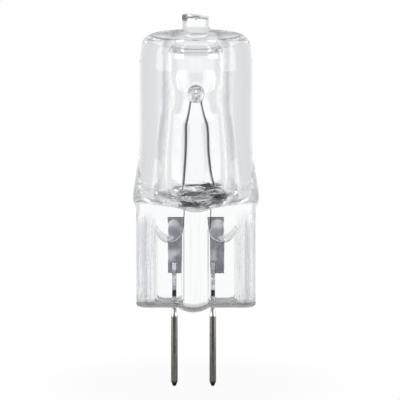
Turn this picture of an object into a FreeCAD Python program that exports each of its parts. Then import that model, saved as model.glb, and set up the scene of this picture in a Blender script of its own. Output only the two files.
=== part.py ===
import FreeCAD, Part
import math
import os
import Sketcher

Vector = FreeCAD.Vector
doc = FreeCAD.newDocument("halogen_capsule_bulb")

# Driving dimensions in millimetres. Z = 0 is the plane where the pins reach their full diameter.
SIZES = {
    # contact pins and outer leads
    "pin_spacing": 4.0,
    "pin_diameter": 0.70,
    "pin_length": 7.4,
    "pin_tip_length": 0.5,
    "pin_cone_length": 0.8,
    "pin_lip": 0.03,
    "pin_bore_depth": 2.6,
    "lead_diameter": 0.38,
    "lead_gap": 0.35,
    "lead_overlap": 1.25,
    # sealing foils
    "foil_spacing": 4.4,
    "foil_top_width": 1.75,
    "foil_foot_width": 1.45,
    "foil_thickness": 0.04,
    "foil_height": 5.95,
    "foil_rise": 3.4,
    "foil_seat": 0.10,
    # pressed seal of the envelope
    "seal_offset": 0.25,
    "seal_width": 12.4,
    "seal_thickness": 3.8,
    "seal_height": 9.8,
    "hip_swell": 0.22,
    "hip_rise": 1.8,
    "hip_taper": 2.7,
    "hip_slope": 5.0,
    "rail_round": 1.3,
    "end_round": 0.3,
    "drip_depth": 0.5,
    "drip_margin": 0.37,
    "flat_spacing": 5.5,
    "flat_width": 3.0,
    "flat_depth": 0.5,
    "flat_margin": 0.35,
    "flat_height": 7.95,
    "flat_dip": 1.3,
    # bulb and its exhaust tip
    "bulb_diameter": 11.7,
    "bowl_rise": 10.15,
    "bowl_round": 2.4,
    "bulb_height": 18.35,
    "shoulder_round": 1.9,
    "shoulder_lean": 0.2,
    "shoulder_rise": 1.55,
    "crater_diameter": 4.4,
    "crater_depth": 0.45,
    "tip_diameter": 2.9,
    "tip_neck_diameter": 1.1,
    "tip_neck_height": 0.35,
    "tip_height": 2.0,
    "tip_bore_diameter": 0.9,
    "tip_bore_depth": 1.1,
    "tip_slant": 0.45,
    # gas space
    "upper_bore": 5.1,
    "lower_bore": 6.3,
    "dome_wall": 1.7,
    "cavity_round": 2.0,
    "floor_rise": 1.7,
    "floor_slope": 0.5,
    "flare_start": 1.8,
    "flare_height": 6.7,
    "press_gap": 5.0,
    "press_height": 1.1,
    # dished dimple in the front wall and the filament post that it makes
    "post_rise": 10.8,
    "post_waist": 0.66,
    "post_reach": 1.15,
    "post_straight": 0.6,
    "dimple_floor": 2.2,
    "dimple_diameter": 0.5,
    "dimple_throat": 1.5,
    "dimple_lip": 0.6,
    "dimple_mouth": 5.4,
    "dimple_wall": 0.5,
    # filament
    "coil_diameter": 0.26,
    "tail_diameter": 0.11,
    "coil_clearance": 0.03,
    "coil_lift": 0.9,
    "coil_foot_left": 1.42,
    "coil_foot_right": 1.95,
    "coil_knee_left": 1.04,
    "coil_knee_right": 1.22,
    "coil_knee_rise": 5.2,
    "coil_bend": 4.0,
    "tail_weld": 1.1,
    "tail_inset": 0.2,
    "tail_drop": 0.1,
    "tail_rise": 0.3,
    "tail_bend": 0.2,
}

sheet = doc.addObject("Spreadsheet::Sheet", "Sizes")
for row, (alias, value) in enumerate(SIZES.items(), start=1):
    sheet.set(f"A{row}", alias)
    sheet.set(f"B{row}", f"{value}")
    sheet.setAlias(f"B{row}", alias)
doc.recompute()


def cells(text):
    """Point every size named in an expression at its spreadsheet cell."""
    words = []
    word = ""
    for letter in text + " ":
        if letter.isalnum() or letter == "_":
            word += letter
            continue
        words.append(f"Sizes.{word}" if word in SIZES else word)
        words.append(letter)
        word = ""
    return "".join(words).strip()


def value_of(text):
    """Number that an expression of size names stands for now."""
    result = sheet.evalExpression(cells(text))
    return float(getattr(result, "Value", result))


def bind(feature, prop, text):
    feature.setExpression(prop, cells(text))


def plane_of(body, role):
    return [item for item in body.Origin.OriginFeatures if item.Role == role][0]


def new_body(name):
    body = doc.addObject("PartDesign::Body", name)
    body.Label = name
    return body


def new_sketch(body, name, role, offset=None):
    """Sketch on one of the body's origin planes, moved along the plane's normal by an expression."""
    sketch = body.newObject("Sketcher::SketchObject", name)
    sketch.AttachmentSupport = [(plane_of(body, role), "")]
    sketch.MapMode = "FlatFace"
    if offset:
        bind(sketch, "AttachmentOffset.Base.z", offset)
    return sketch


def hold(sketch, kind, geometry, position, text):
    """Pin one coordinate of a sketch point to an expression."""
    index = sketch.addConstraint(Sketcher.Constraint(kind, -1, 1, geometry, position, value_of(text)))
    bind(sketch, f"Constraints[{index}]", text)


def arc_between(start, end, radius, turn):
    """Shorter arc from start to end; turn is +1 anticlockwise and -1 clockwise."""
    chord = end - start
    middle = (start + end) * 0.5
    height = math.sqrt(max(radius ** 2 - (chord.Length / 2) ** 2, 0.0))
    side = Vector(-chord.y, chord.x, 0).normalize() * height * turn
    centre = middle + side
    first, last = (start, end) if turn > 0 else (end, start)
    angles = [math.atan2(p.y - centre.y, p.x - centre.x) for p in (first, last)]
    if angles[1] < angles[0]:
        angles[1] += 2 * math.pi
    return Part.ArcOfCircle(Part.Circle(centre, Vector(0, 0, 1), radius), angles[0], angles[1])


def trace(sketch, steps, closed=True):
    """Draw a chain of lines and arcs. A step is (x, y) or (x, y, radius, turn) for an arc to the next."""
    points = [Vector(value_of(step[0]), value_of(step[1]), 0) for step in steps]
    count = len(steps) if closed else len(steps) - 1
    ends = []
    for index in range(count):
        start = points[index]
        end = points[(index + 1) % len(points)]
        step = steps[index]
        if len(step) == 2:
            edge = sketch.addGeometry(Part.LineSegment(start, end), False)
            ends.append((edge, 1, 2))
        else:
            edge = sketch.addGeometry(arc_between(start, end, value_of(step[2]), step[3]), False)
            ends.append((edge, 1, 2) if step[3] > 0 else (edge, 2, 1))
    for index in range(count if closed else count - 1):
        this = ends[index]
        following = ends[(index + 1) % count]
        sketch.addConstraint(Sketcher.Constraint("Coincident", this[0], this[2], following[0], following[1]))
    for index, step in enumerate(steps):
        edge, position = (ends[index][0], ends[index][1]) if index < count else (ends[-1][0], ends[-1][2])
        hold(sketch, "DistanceX", edge, position, step[0])
        hold(sketch, "DistanceY", edge, position, step[1])
        if index < count and len(step) == 4:
            radius = sketch.addConstraint(Sketcher.Constraint("Radius", edge, value_of(step[2])))
            bind(sketch, f"Constraints[{radius}]", step[2])
    return ends


def revolve(body, name, sketch, kind="PartDesign::Revolution"):
    feature = body.newObject(kind, name)
    feature.Profile = sketch
    feature.ReferenceAxis = (sketch, ["V_Axis"])
    feature.Angle = 360
    return feature


def pad(body, name, sketch, length, both_ways=False):
    feature = body.newObject("PartDesign::Pad", name)
    feature.Profile = sketch
    bind(feature, "Length", length)
    feature.Midplane = both_ways
    return feature


def pocket(body, name, sketch, length, both_ways=False):
    feature = body.newObject("PartDesign::Pocket", name)
    feature.Profile = sketch
    bind(feature, "Length", length)
    feature.Midplane = both_ways
    return feature


# Heights and places that several pieces share
SEAL_END = "(pin_cone_length + lead_gap)"
BOWL = f"({SEAL_END} + bowl_rise)"
BULB_TOP = f"({BOWL} + bulb_height)"
BULB_RADIUS = "(bulb_diameter / 2)"
FLOOR = f"({BOWL} + floor_rise)"
POST = f"({FLOOR} + post_rise)"
FOIL_FOOT = f"({SEAL_END} + foil_rise)"
FOIL_TOP = f"({FOIL_FOOT} + foil_height)"
FOIL_FRONT = "foil_seat"
TAIL_PLANE = f"({FOIL_FRONT} - tail_diameter / 4)"
LEAD_TOP = f"({FOIL_FOOT} + lead_overlap)"
COIL_FOOT = f"({FLOOR} + coil_lift)"
LOOP_RADIUS = "(post_waist / 2 + coil_clearance + coil_diameter / 2)"
DIMPLE_SLOPE = f"((dimple_mouth - dimple_diameter) / 2 / ({BULB_RADIUS} - dimple_floor))"
SIDES = (("left", -1), ("right", 1))
# Share of a rounding's radius at its halfway point
EASE = 0.293


def make_pin(side, sign):
    """Nickel contact pin, swaged to a cone where it grips the outer lead."""
    body = new_body(f"{side}_pin")
    sketch = new_sketch(body, f"{side}_pin_profile", "XZ_Plane")
    trace(sketch, [
        ("0", "-pin_bore_depth"),
        ("lead_diameter / 2", "-pin_bore_depth"),
        ("lead_diameter / 2", "pin_cone_length"),
        ("lead_diameter / 2 + pin_lip", "pin_cone_length"),
        ("pin_diameter / 2", "0"),
        ("pin_diameter / 2", "pin_tip_length - pin_length",
         "(pin_tip_length ^ 2 + (pin_diameter * 0.35) ^ 2) / (pin_diameter * 0.7)", -1),
        ("pin_diameter * 0.15", "-pin_length"),
        ("0", "-pin_length"),
    ])
    revolve(body, f"{side}_pin_turned", sketch)
    bind(body, "Placement.Base.x", f"{sign} * pin_spacing / 2")
    return body


def make_lead(side, sign):
    """Molybdenum outer lead, coined flat where it is welded to the foil."""
    body = new_body(f"{side}_outer_lead")
    sketch = new_sketch(body, f"{side}_lead_round", "XY_Plane", "-pin_bore_depth")
    circle = sketch.addGeometry(Part.Circle(Vector(0, 0, 0), Vector(0, 0, 1), value_of("lead_diameter / 2")))
    sketch.addConstraint(Sketcher.Constraint("Coincident", circle, 3, -1, 1))
    index = sketch.addConstraint(Sketcher.Constraint("Diameter", circle, value_of("lead_diameter")))
    bind(sketch, f"Constraints[{index}]", "lead_diameter")
    pad(body, f"{side}_lead_wire", sketch, f"pin_bore_depth + {LEAD_TOP}")
    flat = new_sketch(body, f"{side}_lead_flat", "XZ_Plane", f"-({FOIL_FRONT} + lead_diameter)")
    trace(flat, [
        ("-lead_diameter", FOIL_FOOT),
        ("lead_diameter", FOIL_FOOT),
        ("lead_diameter", f"{LEAD_TOP} + lead_diameter"),
        ("-lead_diameter", f"{LEAD_TOP} + lead_diameter"),
    ])
    coined = pocket(body, f"{side}_lead_coined", flat, "lead_diameter")
    coined.Reversed = True
    bind(body, "Placement.Base.x", f"{sign} * pin_spacing / 2")
    return body


def make_foil(side, sign):
    """Molybdenum sealing foil, wider at the top along its inner edge."""
    body = new_body(f"{side}_foil")
    sketch = new_sketch(body, f"{side}_foil_outline", "XZ_Plane", f"-({FOIL_FRONT})")
    outer = f"{sign} * (foil_spacing / 2 + foil_foot_width / 2)"
    steps = [
        (outer, FOIL_FOOT),
        (outer, FOIL_TOP),
        (f"{outer} - {sign} * foil_top_width", FOIL_TOP),
        (f"{outer} - {sign} * foil_foot_width", FOIL_FOOT),
    ]
    trace(sketch, steps)
    sheet_metal = pad(body, f"{side}_foil_sheet", sketch, "foil_thickness")
    sheet_metal.Reversed = True
    bind(body, "Placement.Base.x", "seal_offset")
    return body


def add_ring(body, name, centre, height, diameter):
    """Circle in a level plane, centred on the body's XZ plane."""
    ring = new_sketch(body, name, "XY_Plane", height)
    middle = Vector(value_of(centre), 0, 0)
    circle = ring.addGeometry(Part.Circle(middle, Vector(0, 0, 1), value_of(f"{diameter} / 2")))
    hold(ring, "DistanceX", circle, 3, centre)
    ring.addConstraint(Sketcher.Constraint("PointOnObject", circle, 3, -1))
    index = ring.addConstraint(Sketcher.Constraint("Diameter", circle, value_of(diameter)))
    bind(ring, f"Constraints[{index}]", diameter)
    return ring


def sweep(body, name, ring, path):
    doc.recompute()
    wire = body.newObject("PartDesign::AdditivePipe", name)
    wire.Profile = ring
    wire.Spine = path
    return wire


def bent_run(sketch, steps, bend_radius, finish=None):
    """Straight runs through the given corners, joined by tangent arcs, as a wire is bent.

    With finish, a last run leaves the last corner towards that point and is left free there.
    """
    corners = [Vector(value_of(x), value_of(y), 0) for x, y in steps]
    if finish:
        corners.append(finish)
    radius = value_of(bend_radius)
    trims = [0.0]
    for before, corner, after in zip(corners, corners[1:], corners[2:]):
        turn = (corner - before).getAngle(after - corner)
        trims.append(radius * math.tan(turn / 2))
    trims.append(0.0)
    runs = []
    for index, (start, end) in enumerate(zip(corners, corners[1:])):
        along = (end - start).normalize()
        line = Part.LineSegment(start + along * trims[index], end - along * trims[index + 1])
        runs.append(sketch.addGeometry(line, False))
    hold(sketch, "DistanceX", runs[0], 1, steps[0][0])
    hold(sketch, "DistanceY", runs[0], 1, steps[0][1])
    if not finish:
        hold(sketch, "DistanceX", runs[-1], 2, steps[-1][0])
        hold(sketch, "DistanceY", runs[-1], 2, steps[-1][1])
    for index in range(1, len(corners) - 1):
        before = (corners[index] - corners[index - 1]).normalize()
        after = (corners[index + 1] - corners[index]).normalize()
        turn = 1 if before.x * after.y - before.y * after.x > 0 else -1
        start = corners[index] - before * trims[index]
        end = corners[index] + after * trims[index]
        arc = sketch.addGeometry(arc_between(start, end, radius, turn), False)
        first, last = (1, 2) if turn > 0 else (2, 1)
        point = sketch.addGeometry(Part.Point(corners[index]), True)
        hold(sketch, "DistanceX", point, 1, steps[index][0])
        hold(sketch, "DistanceY", point, 1, steps[index][1])
        sketch.addConstraint(Sketcher.Constraint("PointOnObject", point, 1, runs[index - 1]))
        sketch.addConstraint(Sketcher.Constraint("PointOnObject", point, 1, runs[index]))
        sketch.addConstraint(Sketcher.Constraint("Tangent", runs[index - 1], 2, arc, first))
        sketch.addConstraint(Sketcher.Constraint("Tangent", arc, last, runs[index], 1))
        size = sketch.addConstraint(Sketcher.Constraint("Radius", arc, radius))
        bind(sketch, f"Constraints[{size}]", bend_radius)
    return runs


def make_filament():
    """Coiled tungsten wire hung over the glass post; the coil is drawn as its outer tube."""
    body = new_body("filament")
    path = new_sketch(body, "coil_path", "XZ_Plane")
    radius = value_of(LOOP_RADIUS)
    centre = Vector(0, value_of(POST), 0)
    loop = path.addGeometry(Part.ArcOfCircle(Part.Circle(centre, Vector(0, 0, 1), radius), -0.2, math.pi + 0.2))
    hold(path, "DistanceY", loop, 3, POST)
    path.addConstraint(Sketcher.Constraint("PointOnObject", loop, 3, -2))
    index = path.addConstraint(Sketcher.Constraint("Radius", loop, radius))
    bind(path, f"Constraints[{index}]", LOOP_RADIUS)
    for side, sign in SIDES:
        touch = Vector(sign * radius * 0.98, centre.y - radius * 0.2, 0)
        runs = bent_run(path, [
            (f"{sign} * coil_foot_{side}", COIL_FOOT),
            (f"{sign} * coil_knee_{side}", f"{COIL_FOOT} + coil_knee_rise"),
        ], "coil_bend", touch)
        path.addConstraint(Sketcher.Constraint("Tangent", runs[-1], 2, loop, 1 if sign > 0 else 2))
    ring = add_ring(body, "coil_ring", "-coil_foot_left", COIL_FOOT, "coil_diameter")
    sweep(body, "coil_tube", ring, path)
    for side, sign in SIDES:
        weld = f"{sign} * (foil_spacing / 2 + foil_foot_width / 2 - foil_top_width + tail_inset)"
        foot = f"{sign} * coil_foot_{side}"
        tail_path = new_sketch(body, f"{side}_tail_path", "XZ_Plane")
        bent_run(tail_path, [
            (foot, f"{COIL_FOOT} + coil_diameter"),
            (foot, f"{COIL_FOOT} - tail_drop"),
            (weld, f"{FLOOR} + tail_rise"),
            (weld, f"{FOIL_TOP} - tail_weld"),
        ], "tail_bend")
        tail_ring = add_ring(body, f"{side}_tail_ring", foot, f"{COIL_FOOT} + coil_diameter", "tail_diameter")
        sweep(body, f"{side}_tail_wire", tail_ring, tail_path)
    flat = new_sketch(body, "tail_flat", "XZ_Plane", "-(tail_diameter / 4 + tail_diameter)")
    trace(flat, [
        ("-seal_width / 2", f"{FOIL_TOP} - 2 * tail_weld"),
        ("seal_width / 2", f"{FOIL_TOP} - 2 * tail_weld"),
        ("seal_width / 2", FOIL_TOP),
        ("-seal_width / 2", FOIL_TOP),
    ])
    pressed = pocket(body, "tail_pressed", flat, "tail_diameter")
    pressed.Reversed = True
    bind(body, "Placement.Base.x", "seal_offset")
    bind(body, "Placement.Base.y", TAIL_PLANE)
    return body


def make_bulb_blank():
    """Outside of the blown tube: bowl, straight wall, dome and the broken exhaust tip in its crater."""
    body = new_body("bulb_blank")
    tip_top = f"{BULB_TOP} + tip_height"
    sketch = new_sketch(body, "bulb_profile", "XZ_Plane")
    trace(sketch, [
        ("0", BOWL),
        (f"{BULB_RADIUS} - bowl_round", BOWL),
        (f"{BULB_RADIUS} - {EASE} * bowl_round", f"{BOWL} + {EASE} * bowl_round"),
        (BULB_RADIUS, f"{BOWL} + bowl_round"),
        (BULB_RADIUS, f"{BULB_TOP} - shoulder_round - shoulder_rise"),
        (f"{BULB_RADIUS} - shoulder_lean", f"{BULB_TOP} - shoulder_round", "shoulder_round", 1),
        (f"{BULB_RADIUS} - shoulder_lean - shoulder_round", BULB_TOP),
        ("crater_diameter / 2", BULB_TOP),
        ("tip_neck_diameter / 2", f"{BULB_TOP} - crater_depth"),
        ("tip_diameter / 2", f"{BULB_TOP} + tip_neck_height"),
        ("tip_diameter / 2", tip_top),
        ("tip_bore_diameter / 2", tip_top),
        ("0", f"{tip_top} - tip_bore_depth"),
    ])
    revolve(body, "bulb_turned", sketch)
    slant = new_sketch(body, "tip_break", "XZ_Plane")
    trace(slant, [
        ("-tip_diameter", f"{tip_top} + tip_slant / 2"),
        ("tip_diameter", f"{tip_top} - tip_slant * 3 / 2"),
        ("tip_diameter", f"{tip_top} + tip_height"),
        ("-tip_diameter", f"{tip_top} + tip_height"),
    ])
    pocket(body, "tip_broken", slant, "2 * tip_diameter", both_ways=True)
    bind(body, "Placement.Base.x", "seal_offset")
    return body


def bend(width, height):
    """Radius of the two equal arcs of an S-bend that starts and ends parallel."""
    return f"(({width}) ^ 2 + ({height}) ^ 2) / (4 * ({width}))"


def make_seal_blank():
    """Outside of the pressed seal: rails, flats over the foils, middle rib and bottom drip."""
    body = new_body("seal_blank")
    half = "seal_width / 2"
    hip = "(max(seal_width; bulb_diameter) / 2 + hip_swell)"
    low = f"{SEAL_END} + seal_height"
    wide = f"{low} + hip_rise"
    step = f"({hip} - {BULB_RADIUS})"
    taper = f"(hip_taper + hip_slope * {step})"
    reach = "(pin_spacing / 2 - drip_margin)"
    bulge = f"({hip} - {half})"
    hip_arc = f"(hip_rise ^ 2 + {bulge} ^ 2) / (2 * {bulge})"
    drip_arc = f"({reach} ^ 2 + drip_depth ^ 2) / (2 * drip_depth)"
    outline = new_sketch(body, "seal_outline", "XZ_Plane")
    trace(outline, [
        (f"-{half}", SEAL_END),
        (f"-seal_offset - {reach}", SEAL_END, drip_arc, 1),
        (f"-seal_offset + {reach}", SEAL_END),
        (half, SEAL_END),
        (half, low, hip_arc, 1),
        (hip, wide, bend(step, taper), 1),
        (f"{hip} - {step} / 2", f"{wide} + {taper} / 2", bend(step, taper), -1),
        (BULB_RADIUS, f"{wide} + {taper}"),
        (f"-{BULB_RADIUS}", f"{wide} + {taper}", bend(step, taper), -1),
        (f"{step} / 2 - {hip}", f"{wide} + {taper} / 2", bend(step, taper), 1),
        (f"-{hip}", wide, hip_arc, 1),
        (f"-{half}", low),
    ])
    block = pad(body, "seal_pressed", outline, "seal_thickness", both_ways=True)
    doc.recompute()
    limit = value_of(f"min({BULB_RADIUS}; {half})") - 0.01
    depth = value_of("seal_thickness / 2")
    rails = []
    ends = []
    for index, edge in enumerate(block.Shape.Edges, start=1):
        corners = [vertex.Point for vertex in edge.Vertexes]
        if not all(abs(abs(corner.y) - depth) < 1e-6 for corner in corners):
            continue
        if abs(corners[0].y - corners[1].y) > 1e-6:
            continue
        if all(abs(corner.x) > limit for corner in corners) and corners[0].x * corners[1].x > 0:
            rails.append(f"Edge{index}")
    rounded = body.newObject("PartDesign::Fillet", "rails_rounded")
    rounded.Base = (block, rails)
    bind(rounded, "Radius", "rail_round")
    doc.recompute()
    end_height = value_of(SEAL_END)
    for index, edge in enumerate(rounded.Shape.Edges, start=1):
        box = edge.BoundBox
        if box.ZMax < end_height + 1e-6 and abs(abs(box.Center.y) - depth) < 1e-6 and box.YLength < 1e-6:
            ends.append(f"Edge{index}")
    softened = body.newObject("PartDesign::Fillet", "end_rounded")
    softened.Base = (rounded, ends)
    bind(softened, "Radius", "end_round")
    doc.recompute()
    flats = new_sketch(body, "flat_outline", "XZ_Plane", "seal_thickness / 2")
    bottom = f"{SEAL_END} + flat_margin"
    dip_arc = "((flat_width / 2) ^ 2 + flat_dip ^ 2) / (2 * flat_dip)"
    for side, sign in SIDES:
        middle = f"{sign} * flat_spacing / 2"
        trace(flats, [
            (f"{middle} - flat_width / 2", bottom),
            (f"{middle} + flat_width / 2", bottom),
            (f"{middle} + flat_width / 2", f"{bottom} + flat_height", dip_arc, -1),
            (f"{middle} - flat_width / 2", f"{bottom} + flat_height"),
        ])
    front = pocket(body, "front_flats", flats, "flat_depth")
    rear = body.newObject("PartDesign::Mirrored", "rear_flats")
    rear.Originals = [front]
    rear.MirrorPlane = (plane_of(body, "XZ_Plane"), [""])
    body.Tip = rear
    bind(body, "Placement.Base.x", "seal_offset")
    return body


def make_gas_space():
    """Inside of the envelope, pressed narrow at its floor and waisted by the filament post."""
    body = new_body("gas_space")
    upper = "(upper_bore / 2)"
    lower = "(lower_bore / 2)"
    top = f"({BULB_TOP} - dome_wall)"
    flare = f"({FLOOR} + flare_start)"
    sketch = new_sketch(body, "gas_profile", "XZ_Plane")
    trace(sketch, [
        ("0", FLOOR),
        (f"{lower} - floor_slope", FLOOR),
        (lower, f"{FLOOR} + floor_slope"),
        (lower, flare),
        (upper, f"{flare} + flare_height"),
        (upper, f"{top} - cavity_round"),
        (f"{upper} - {EASE} * cavity_round", f"{top} - {EASE} * cavity_round"),
        (f"{upper} - cavity_round", top),
        ("0", top),
    ])
    revolve(body, "gas_turned", sketch)
    press = new_sketch(body, "press_profile", "YZ_Plane")
    for sign in (-1, 1):
        trace(press, [
            (f"{sign} * press_gap / 2", f"{FLOOR} - 0.2 * press_height"),
            (f"{sign} * {BULB_RADIUS}", f"{FLOOR} - 0.2 * press_height"),
            (f"{sign} * {BULB_RADIUS}", f"{FLOOR} + press_height"),
            (f"{sign} * {lower}", f"{FLOOR} + press_height"),
        ])
    pocket(body, "gas_pressed", press, "2 * bulb_diameter", both_ways=True)
    flank = "(dimple_diameter / 2 + dimple_wall)"
    far = f"({upper} + dimple_wall)"
    spread = f"({flank} + ({far} - post_reach) * {DIMPLE_SLOPE})"
    post = new_sketch(body, "post_profile", "XY_Plane", POST)
    trace(post, [
        ("0", f"-{far}"),
        (spread, f"-{far}"),
        (flank, "-post_reach"),
        ("post_waist / 2", "-post_straight / 2"),
        ("post_waist / 2", "post_straight / 2"),
        (flank, "post_reach"),
        (spread, far),
        ("0", far),
    ])
    doc.recompute()
    revolve(body, "post_left", post, "PartDesign::Groove")
    bind(body, "Placement.Base.x", "seal_offset")
    return body


def make_dimple():
    """Round punch that presses the front wall in until it meets the rear one as the filament post."""
    body = new_body("front_dimple")
    sketch = new_sketch(body, "dimple_profile", "XY_Plane", POST)
    trace(sketch, [
        ("0", "-dimple_floor"),
        ("dimple_diameter / 2", "-dimple_floor"),
        ("dimple_throat / 2", f"dimple_lip - {BULB_RADIUS}"),
        ("dimple_mouth / 2", f"-{BULB_RADIUS}"),
        ("dimple_mouth / 2", "-bulb_diameter"),
        ("0", "-bulb_diameter"),
    ])
    revolve(body, "dimple_punch", sketch)
    bind(body, "Placement.Base.x", "seal_offset")
    return body


pins = [make_pin(side, sign) for side, sign in SIDES]
leads = [make_lead(side, sign) for side, sign in SIDES]
foils = [make_foil(side, sign) for side, sign in SIDES]
filament = make_filament()
doc.recompute()

bulb_blank = make_bulb_blank()
seal_blank = make_seal_blank()
gas_space = make_gas_space()
front_dimple = make_dimple()
doc.recompute()

blank = doc.addObject("Part::MultiFuse", "envelope_blank")
blank.Shapes = [bulb_blank, seal_blank]
hollow = doc.addObject("Part::MultiFuse", "envelope_hollow")
hollow.Shapes = [gas_space, front_dimple, filament] + foils + leads
glass = doc.addObject("Part::Cut", "glass_envelope")
glass.Label = "glass_envelope"
glass.Base = blank
glass.Tool = hollow
doc.recompute()

# Every step is checked before any piece is written
for item in doc.Objects:
    if "Invalid" in item.State or "Error" in item.State:
        raise RuntimeError(f"{item.Label} did not build: {item.State}")
pieces = [glass, filament] + foils + leads + pins
for piece in pieces:
    if piece.Shape.isNull() or not piece.Shape.isValid():
        raise RuntimeError(f"{piece.Label} has no valid shape")
    if len(piece.Shape.Solids) != 1:
        raise RuntimeError(f"{piece.Label} is not one solid")

os.makedirs("parts", exist_ok=True)
for piece in pieces:
    piece.Shape.exportStep(f"parts/{piece.Label}.step")
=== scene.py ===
import math

import bmesh
import bpy
import numpy as np
from mathutils import Matrix, Vector, geometry, noise


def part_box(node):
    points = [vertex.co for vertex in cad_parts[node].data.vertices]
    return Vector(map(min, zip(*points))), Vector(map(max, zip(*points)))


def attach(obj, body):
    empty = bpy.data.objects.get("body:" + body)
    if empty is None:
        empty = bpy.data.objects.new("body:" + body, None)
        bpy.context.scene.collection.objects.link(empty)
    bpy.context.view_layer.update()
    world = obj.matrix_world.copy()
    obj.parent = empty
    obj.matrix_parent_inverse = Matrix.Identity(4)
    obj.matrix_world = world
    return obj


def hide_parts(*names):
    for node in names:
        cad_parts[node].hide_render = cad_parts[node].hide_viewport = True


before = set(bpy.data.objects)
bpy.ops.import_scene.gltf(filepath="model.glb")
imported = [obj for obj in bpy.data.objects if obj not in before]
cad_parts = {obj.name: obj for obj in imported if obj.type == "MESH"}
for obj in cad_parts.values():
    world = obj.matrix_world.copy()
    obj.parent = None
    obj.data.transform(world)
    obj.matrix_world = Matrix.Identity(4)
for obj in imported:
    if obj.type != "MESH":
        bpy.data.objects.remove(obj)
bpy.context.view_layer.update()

MM = 0.001

# Main places of the solids, in millimetres; the glass is worked out about its own upright axis
glass_low, glass_high = (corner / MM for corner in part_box("glass_envelope"))
GLASS_AXIS = (glass_low.x + glass_high.x) / 2
TUBE_RADIUS = (glass_high.y - glass_low.y) / 2
HIP_HALF = (glass_high.x - glass_low.x) / 2
TIP_TOP = glass_high.z
FLOOR_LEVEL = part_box("left_pin")[0].z / MM
foil_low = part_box("left_foil")[0] / MM
FOIL_FOOT = foil_low.z
FOIL_FRONT = foil_low.y
PIN_REACH = abs(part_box("left_pin")[0].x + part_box("left_pin")[1].x) / 2 / MM

# Pressed seal and the drip at its end
SEAL_END = 1.15
SEAL_HALF = 6.2
SEAL_DEPTH = 1.9
SEAL_RIPPLE = 0.03
RIPPLE_FADE = (9.0, 12.5)
RAIL_ROUND = 1.3
END_ROUND = 0.3
END_SLACK = 0.05
DRIP_DEPTH = 0.5
DRIP_REACH = 1.63
DRIP_RUN = 1.0

# Flats pressed beside the middle rib
FLAT_INNER = 1.25
FLAT_OUTER = 4.25
FLAT_FOOT = 1.5
FLAT_LIFT = 0.4
FLAT_TOP = 9.45
FLAT_DIP = 1.3
FLAT_DEPTH = 0.5
FLAT_BRINK = 0.12
FLAT_SLOPE = 0.16
FOOT_BRINK = 0.15
FOOT_SLOPE = 0.35
TOP_SLOPE = 0.2
FACE_START = 0.5
FACE_FULL = 0.1

# Upright grooves of the jaws in the rails: place, half width and share of the full depth
GROOVES = ((5.05, 0.1, 1.0), (4.6, 0.08, 0.8))
GROOVE_DEPTH = 0.14
GROOVE_BRINK = 0.3
GROOVE_SLOPE = 0.6
GROOVE_FADE = (8.5, 11.0)

# Hips, and the bowl where the tube grows out of the seal
HIP_LOW = 10.95
HIP_WIDE = 12.75
HIP_TAPER = 5.75
HIP_NIP = 0.12
HIP_NIP_RUN = 1.5
BOWL_LOW = 11.2
BOWL_HIGH = 13.3
BOWL_CREST = 13.0
BOWL_END = 15.0
BOWL_LAG = 0.9
BOWL_TUCK = 0.2
BOWL_SWELL = 2.2
BOWL_SOFT = 0.5
BOWL_SOFT_RUN = 1.2

# Dome with its slightly dished top
DOME_TOP = 29.62
DOME_DISH = 0.3
SHOULDER_LOW = 25.6
SHOULDER_BEND = 1.2
SHOULDER_SWEEP = 5.0
SHOULDER_LEAN = 0.4
SHOULDER_ROUND = 1.3
CRATER_HALF = 2.4
CRATER_DEPTH = 0.45
CRATER_LIP = 0.4
CRATER_LIP_DROP = 0.02
CRATER_LIP_ROUND = 1.0

# Broken exhaust stub
NECK_RADIUS = 0.55
NECK_ROUND = 0.3
NECK_BEND = 0.1
TIP_RADIUS = 1.45
TIP_FOOT = 29.95
TIP_FOOT_ROUND = 0.7
TIP_ROUND = 0.2
TIP_BORE = 0.5
TIP_SAG = 0.1
TIP_PIT = 0.5
TIP_SLANT = 0.16
TIP_ROUGH = 0.08
TIP_FINE = 0.05
BREAK_LOW = 0.9
BREAK_FULL = 0.3
CHIP_ACROSS = -1.15
CHIP_FRONT = -0.9
CHIP_WIDE = 0.35
CHIP_LONG = 0.5
CHIP_DEPTH = 0.45

# Gas space, nipped at its creased floor
CAVITY_FLOOR = 13.0
CAVITY_TOP = 28.35
CAVITY_RIM = 0.1
CAVITY_UPPER = 2.55
CAVITY_LOWER = 3.15
CAVITY_ROUND = 1.2
CAVITY_FLOOR_ROUND = 0.5
FLARE_LOW = 14.8
FLARE_LOW_ROUND = 3.0
FLARE_HIGH = 21.5
FLARE_HIGH_ROUND = 6.0
PRESS_HALF = 2.5
PRESS_OPEN = 2.0
PRESS_RUN = 1.6
PRESS_SOFT = 0.3
CREASE_LOW = 0.2
CREASE_HIGH = 1.4
CREASE_DEPTH = 0.5
FOLD_DEPTH = 0.25
FOLD_SHIFT = 0.15

# Dimple in the front wall, and the post behind it
FRONT_WALL = -2.0
POST_LEVEL = 23.8
POST_WAIST = 0.33
POST_FLANK = 0.22
POST_FLANK_START = 0.3
POST_FLANK_END = 1.2
POST_FLARE = 0.5
POST_SUNK = 0.9
DIMPLE_FLOOR = 2.2
DIMPLE_HALF = 0.2
DIMPLE_THROAT = 0.7
DIMPLE_FINE = 1.4
DISH_DEPTH = 0.35
DISH_HALF = 2.9
DISH_RISE = 3.4
DISH_DROP = 3.0

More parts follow.
